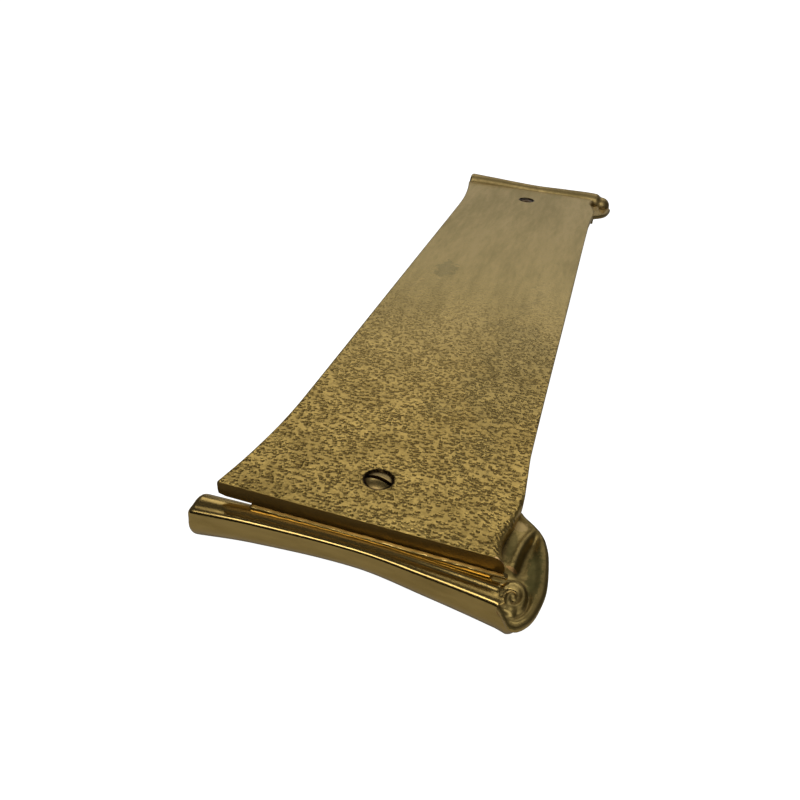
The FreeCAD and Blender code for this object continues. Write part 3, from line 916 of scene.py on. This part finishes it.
def make_worn_brass():
    """The upper casting, handled until it is dull and even in tone."""
    material, tree, shader = new_material("worn brass")
    base = tarnish(tree, (0.48, 0.35, 0.14), (0.32, 0.235, 0.09), 0.42, 0.56, 0.9)
    # painted shade: the hollows are coloured dark brown
    hollow = ramp(tree, own_attribute(tree, "hollow"), 0.15, 0.9)
    painted_shade = maths(tree, "MULTIPLY", hollow, 0.6)
    colour = blend_colours(tree, painted_shade, base["Color"], (0.09, 0.05, 0.015, 1))
    tree.links.new(colour, shader.inputs["Base Color"])
    tree.links.new(base["Roughness"], shader.inputs["Roughness"])
    bump = add_node(tree, "ShaderNodeBump", {"Height": base["Height"], "Distance": 0.0003,
                                             "Strength": 0.25})
    tree.links.new(bump.outputs["Normal"], shader.inputs["Normal"])
    return material


def make_cast_brass():
    """Rough brass straight from the mould, brown with age."""
    material, tree, shader = new_material("cast brass")
    base = tarnish(tree, (0.16, 0.12, 0.055), (0.06, 0.04, 0.016), 0.42, 0.65, 1.0)
    tree.links.new(base["Color"], shader.inputs["Base Color"])
    tree.links.new(base["Roughness"], shader.inputs["Roughness"])
    bump = add_node(tree, "ShaderNodeBump", {"Height": base["Height"], "Distance": 0.0004,
                                             "Strength": 0.7})
    tree.links.new(bump.outputs["Normal"], shader.inputs["Normal"])
    return material


def make_screw_brass(name, bright, deep, top):
    """Slotted head: clear on its dome, with painted shade in its slot and round its rim."""
    material, tree, shader = new_material(name)
    base = tarnish(tree, bright, deep, 0.2, 0.4, 0.9)
    place = tree.nodes.new("ShaderNodeTexCoord").outputs["Object"]
    height = add_node(tree, "ShaderNodeSeparateXYZ", {0: place}).outputs["Z"]
    # painted shade: everything below the dome's top, slot and rim, is coloured near black
    painted_shade = maths(tree, "MULTIPLY", ramp(tree, height, top - 0.66 * MM, top - 0.92 * MM), 0.95)
    colour = blend_colours(tree, painted_shade, base["Color"], (0.025, 0.011, 0.005, 1))
    tree.links.new(colour, shader.inputs["Base Color"])
    tree.links.new(base["Roughness"], shader.inputs["Roughness"])
    bump = add_node(tree, "ShaderNodeBump", {"Height": base["Height"], "Strength": 0.1, "Distance": 0.0003})
    tree.links.new(bump.outputs["Normal"], shader.inputs["Normal"])
    return material


def dress(piece, *materials):
    piece.data.materials.clear()
    for material in materials:
        piece.data.materials.append(material)


# ---------------------------------------------------------------- the object

pebbled_brass = make_pebbled_brass()
casting_brass = {LOWER: make_polished_brass(), UPPER: make_worn_brass()}
cast_brass = make_cast_brass()

face_plate = make_face_plate()
dress(face_plate, pebbled_brass)
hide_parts("face_plate")
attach(face_plate, "root")

for end_side, end_name in END_NAMES.items():
    casting = make_scroll_casting(end_side)
    dress(casting, casting_brass[end_side], cast_brass)
    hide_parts(end_name + "_scroll")
    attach(casting, "root")

screw_finishes = {
    "lower": make_screw_brass("bright screw brass", (0.5, 0.36, 0.13), (0.24, 0.15, 0.055),
                              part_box("lower_face_screw")[1].z),
    "upper": make_screw_brass("brown screw brass", (0.08, 0.048, 0.02), (0.035, 0.02, 0.009),
                              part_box("upper_face_screw")[1].z),
}
for end_name, finish in screw_finishes.items():
    dress(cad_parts[end_name + "_face_screw"], finish)


# ---------------------------------------------------------------- the studio

def make_floor():
    bm = bmesh.new()
    bmesh.ops.create_grid(bm, x_segments=4, y_segments=4, size=30)
    floor = finish_piece("studio_floor", bm, 30)
    material, tree, shader = new_material("pale floor")
    shader.inputs["Metallic"].default_value = 0.0
    shader.inputs["Base Color"].default_value = (0.42, 0.42, 0.42, 1)
    shader.inputs["Roughness"].default_value = 0.9
    shader.inputs["Emission Color"].default_value = (1, 1, 1, 1)
    seen = tree.nodes.new("ShaderNodeLightPath").outputs["Is Camera Ray"]
    glow = maths(tree, "ADD", maths(tree, "MULTIPLY", seen, 0.98), 0.06)
    tree.links.new(glow, shader.inputs["Emission Strength"])
    dress(floor, material)


SKY_STRENGTH = 0.055


def make_sky():
    """Bright overhead and beyond the upper end, dim towards the near horizon."""
    world = bpy.data.worlds.new("studio")
    world.use_nodes = True
    tree = world.node_tree
    place = tree.nodes.new("ShaderNodeTexCoord").outputs["Generated"]
    parts = add_node(tree, "ShaderNodeSeparateXYZ", {0: place}).outputs
    slant = maths(tree, "ADD", parts["Z"], maths(tree, "MULTIPLY", parts["Y"], 0.45))
    rising = maths(tree, "MULTIPLY", ramp(tree, slant, -0.05, 0.62), 0.95)
    glow = maths(tree, "SUBTRACT", maths(tree, "ADD", rising, 0.03),
                 maths(tree, "MULTIPLY", ramp(tree, slant, 0.70, 0.90), 0.33))
    seen = tree.nodes.new("ShaderNodeLightPath").outputs["Is Camera Ray"]
    background = tree.nodes["Background"]
    background.inputs["Color"].default_value = (1, 1, 1, 1)
    dim = maths(tree, "MULTIPLY", glow, SKY_STRENGTH)
    tree.links.new(maths(tree, "MAXIMUM", dim, seen), background.inputs["Strength"])
    bpy.context.scene.world = world


def make_softbox(name, place, target, size, power):
    light = bpy.data.lights.new(name, "AREA")
    light.shape = "RECTANGLE"
    light.size, light.size_y = size
    light.energy = power
    lamp = bpy.data.objects.new(name, light)
    lamp.location = place
    lamp.rotation_euler = (Vector(target) - Vector(place)).to_track_quat("-Z", "Y").to_euler()
    bpy.context.scene.collection.objects.link(lamp)


def make_camera():
    data = bpy.data.cameras.new("camera")
    data.lens = 30.43
    data.sensor_width = 36
    data.clip_start = 0.005
    camera = bpy.data.objects.new("camera", data)
    camera.location = (0.0362129, -0.2481578, 0.1293716)
    camera.rotation_euler = Euler([math.radians(angle) for angle in (55.8428, -3.5275, 17.5794)])
    bpy.context.scene.collection.objects.link(camera)
    bpy.context.scene.camera = camera


make_floor()
make_sky()
make_softbox("back_softbox", (-0.15, 0.75, 0.75), (0, 0, 0), (1.2, 0.5), 2.05)
make_softbox("overhead_strip", (0.0, -0.34, 0.75), (0, -0.12, 0), (1.0, 0.30), 2.75)
make_softbox("far_softbox", (0.0, 1.2, 0.36), (0, 0.14, 0), (1.6, 0.3), 0.75)
make_camera()
bpy.context.scene.view_settings.view_transform = "Standard"
